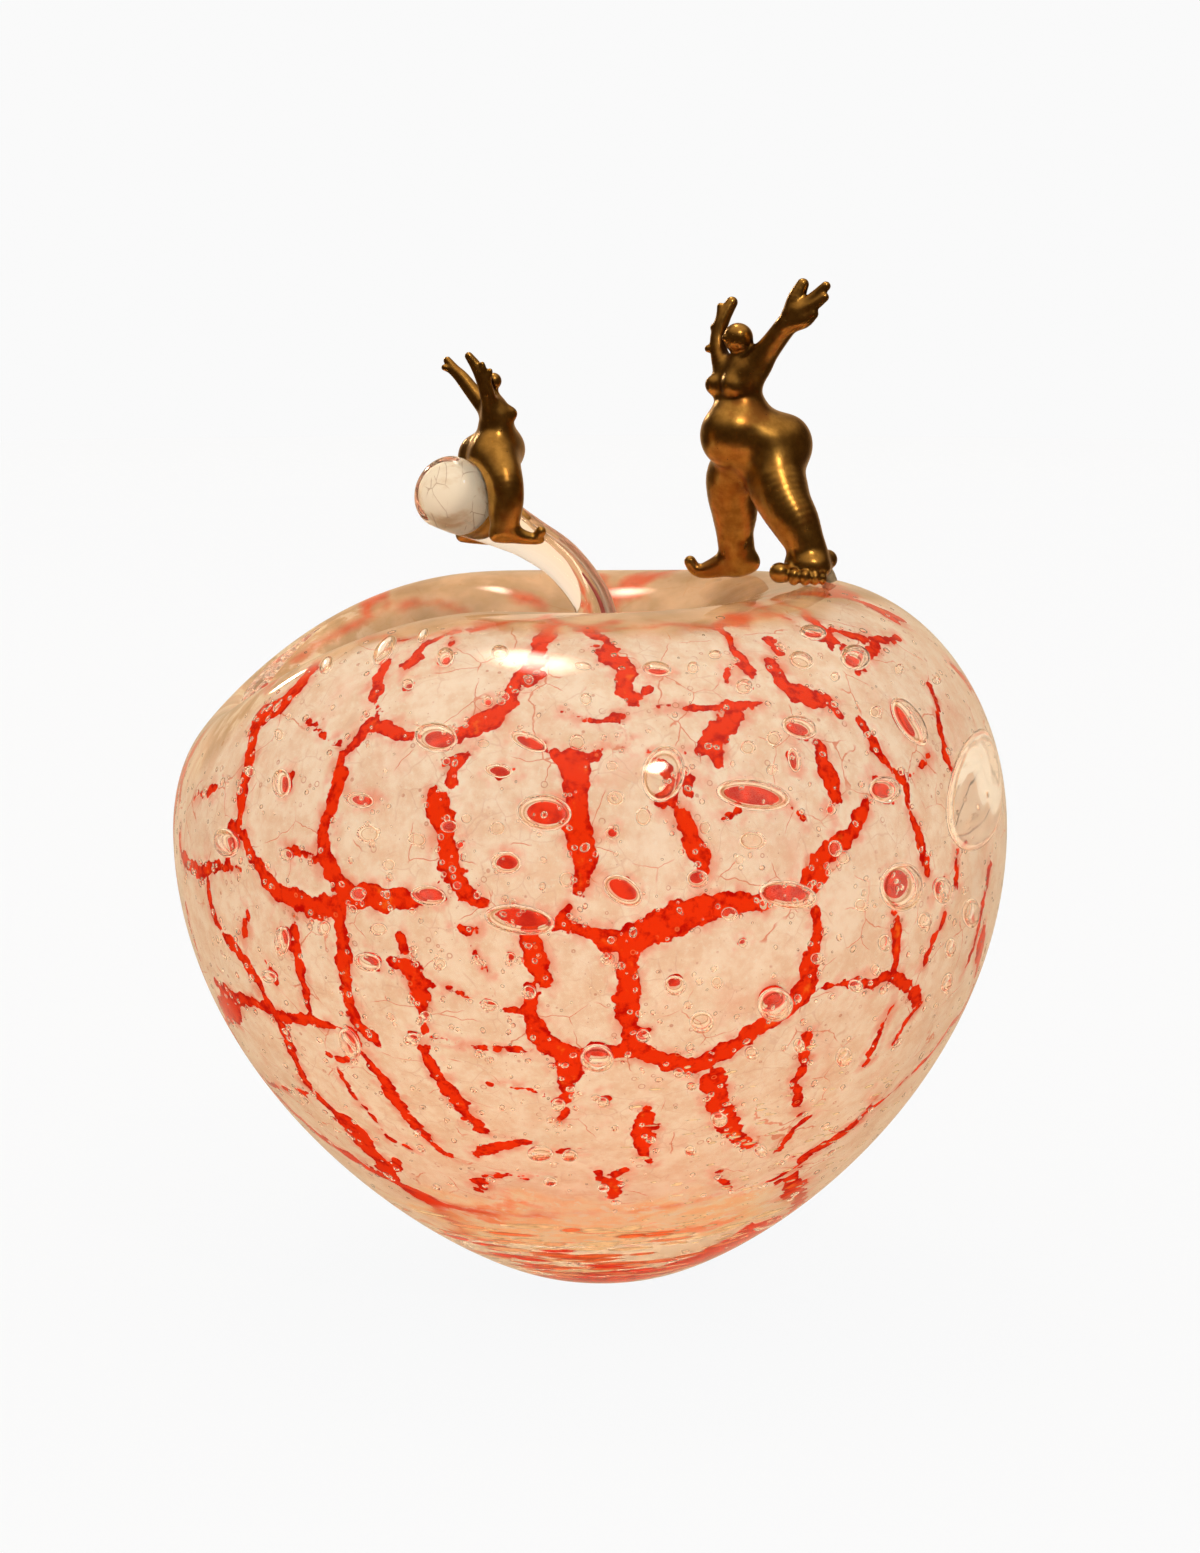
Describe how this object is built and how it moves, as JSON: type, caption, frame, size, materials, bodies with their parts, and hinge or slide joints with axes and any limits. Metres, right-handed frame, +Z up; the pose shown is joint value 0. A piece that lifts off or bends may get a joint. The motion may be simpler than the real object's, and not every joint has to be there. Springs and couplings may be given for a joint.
{
  "type": "apple sculpture",
  "caption": "Crackle-glass apple with a thick clear casing, a bent glass stem and small bronze figures standing on its rim and riding its stem.",
  "frame": {"origin": "centre of the flat foot face that the apple stands on", "axes": "+Z up, +X to the right as seen in the picture (the standing figure's side), +Y to the back"},
  "size_m": [0.218, 0.218, 0.2617],
  "materials": {
    "clear_glass": "polished clear glass with a warm tint",
    "white_enamel": "creamy white enamel glass, cracked into plates",
    "red_glass": "strong red glass seen in the cracks",
    "stem_glass": "polished clear glass",
    "thread_glass": "red glass thread",
    "bronze": "patinated bronze, rubbed bright on the high parts",
    "grey_resin": "dull grey-brown resin"
  },
  "bodies": {
    "root": {"clear_casing": "clear_glass", "crackle_plate_01": "white_enamel", "crackle_plate_02": "white_enamel", "crackle_plate_03": "white_enamel", "crackle_plate_04": "white_enamel", "crackle_plate_05": "white_enamel", "crackle_plate_06": "white_enamel", "crackle_plate_07": "white_enamel", "crackle_plate_08": "white_enamel", "crackle_plate_09": "white_enamel", "crackle_plate_10": "white_enamel", "crackle_plate_11": "white_enamel", "crackle_plate_12": "white_enamel", "crackle_plate_13": "white_enamel", "crackle_plate_14": "white_enamel", "crackle_plate_15": "white_enamel", "crackle_plate_16": "white_enamel", "crackle_plate_17": "white_enamel", "crackle_plate_18": "white_enamel", "crackle_plate_19": "white_enamel", "crackle_plate_20": "white_enamel", "crackle_plate_21": "white_enamel", "crackle_plate_22": "white_enamel", "crackle_plate_23": "white_enamel", "crackle_plate_24": "white_enamel", "crackle_plate_25": "white_enamel", "crackle_plate_26": "white_enamel", "crackle_plate_27": "white_enamel", "crackle_plate_28": "white_enamel", "crackle_plate_29": "white_enamel", "crackle_plate_30": "white_enamel", "crackle_plate_31": "white_enamel", "crackle_plate_32": "white_enamel", "crackle_plate_33": "white_enamel", "crackle_plate_34": "white_enamel", "crackle_plate_35": "white_enamel", "crackle_plate_36": "white_enamel", "crackle_plate_37": "white_enamel", "crackle_plate_38": "white_enamel", "crackle_plate_39": "white_enamel", "crackle_plate_40": "white_enamel", "crackle_plate_41": "white_enamel", "crackle_plate_42": "white_enamel", "crackle_plate_43": "white_enamel", "crackle_plate_44": "white_enamel", "crackle_plate_45": "white_enamel", "crackle_plate_46": "white_enamel", "crackle_plate_47": "white_enamel", "crackle_plate_48": "white_enamel", "crackle_plate_49": "white_enamel", "crackle_plate_50": "white_enamel", "red_bubble": "red_glass", "stem_rod": "stem_glass", "stem_thread_long": "thread_glass", "stem_thread_short": "thread_glass", "standing_figure": "bronze", "riding_figure": "bronze", "heel_prop": "grey_resin"}
  },
  "joints": []
}
